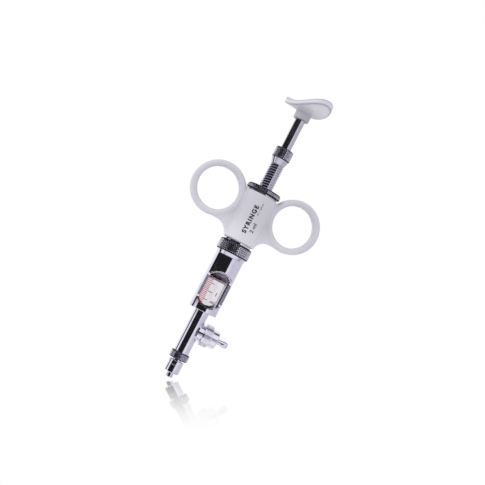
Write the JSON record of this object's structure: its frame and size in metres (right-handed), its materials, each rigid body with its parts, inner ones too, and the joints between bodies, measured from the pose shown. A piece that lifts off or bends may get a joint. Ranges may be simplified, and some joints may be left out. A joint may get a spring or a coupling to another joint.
{
  "type": "self-filling ring-handle syringe",
  "caption": "Self-filling syringe with a finger-ring grip, saddle thumb rest, threaded dose sleeve, windowed chromed barrel over graduated glass, side hose nipple and Luer-lock tip.",
  "frame": {"origin": "centre of the Luer cone's open end, on the syringe axis", "axes": "+Z along the syringe axis from the tip to the thumb rest, +X through the right finger ring and along the hose nipple, -Y out of the barrel's front window"},
  "size_m": [0.0811, 0.0406, 0.1784],
  "materials": {
    "chrome": "bright chrome plate on turned brass",
    "knurled_chrome": "chrome plate over diamond knurling",
    "handle_plastic": "satin white moulded plastic",
    "thumb_plastic": "satin white moulded plastic",
    "glass": "clear drawn glass",
    "rubber": "matt seal rubber",
    "spring_steel": "drawn spring wire",
    "valve_plastic": "turned white plastic",
    "piston_metal": "fine-turned steel",
    "print_red": "fired red scale print",
    "print_grey": null
  },
  "bodies": {
    "barrel_and_handle": {"luer_cone": "chrome", "luer_collar": "chrome", "tip_nut": "knurled_chrome", "valve_body": "chrome", "outlet_seat": "rubber", "outlet_spring": "spring_steel", "inlet_nut": "knurled_chrome", "inlet_nipple": "chrome", "inlet_seat": "rubber", "inlet_spring": "spring_steel", "barrel_sleeve": "chrome", "lower_gasket": "rubber", "glass_barrel": "glass", "upper_gasket": "rubber", "coupling_nut": "knurled_chrome", "seat_ring": "chrome", "handle_bush": "chrome", "handle": "handle_plastic", "return_spring": "spring_steel", "top_bush": "chrome"},
    "outlet_valve": {"outlet_valve": "valve_plastic"},
    "inlet_valve": {"inlet_valve": "valve_plastic"},
    "lock_disc": {"lock_disc": "knurled_chrome"},
    "dose_carriage": {"rod_guide": "valve_plastic"},
    "dose_screw": {"dose_screw": "chrome"},
    "spring_carriage": {"spring_seat": "chrome"},
    "plunger": {"piston_rod": "chrome", "piston": "piston_metal", "piston_rings": "rubber", "thumb_rest": "thumb_plastic"}
  },
  "joints": [
    {"name": "dose_advance", "type": "slide", "parent": "barrel_and_handle", "child": "dose_carriage", "axis": [0, 0, 1], "range_m": [0, 0.00225]},
    {"name": "dose_turn", "type": "hinge", "parent": "dose_carriage", "child": "dose_screw", "pos_m": [0, 0, 0.1357], "axis": [0, 0, 1], "range_deg": [0, 540]},
    {"name": "plunger_press", "type": "slide", "parent": "dose_carriage", "child": "spring_carriage", "axis": [0, 0, 1], "range_m": [-0.01696, 0], "stiffness_N_per_m": 400, "springref_m": 0.02, "deforming": ["return_spring"]},
    {"name": "plunger_swivel", "type": "hinge", "parent": "spring_carriage", "child": "plunger", "pos_m": [0, 0, 0.1648], "axis": [0, 0, 1], "continuous": true},
    {"name": "lock_disc_turn", "type": "hinge", "parent": "barrel_and_handle", "child": "lock_disc", "pos_m": [0, 0, 0.1182], "axis": [0, 0, 1], "range_deg": [0, 90]},
    {"name": "outlet_lift", "type": "slide", "parent": "barrel_and_handle", "child": "outlet_valve", "axis": [0, 0, 1], "range_m": [-0.0008, 0], "stiffness_N_per_m": 50, "springref_m": 0.002, "deforming": ["outlet_spring"]},
    {"name": "inlet_lift", "type": "slide", "parent": "barrel_and_handle", "child": "inlet_valve", "axis": [1, 0, 0], "range_m": [-0.0008, 0], "stiffness_N_per_m": 50, "springref_m": 0.002, "deforming": ["inlet_spring"]}
  ],
  "couplings": [
    {"joint": "dose_turn", "follows": "dose_advance", "rad_per_m": 4188.8}
  ]
}
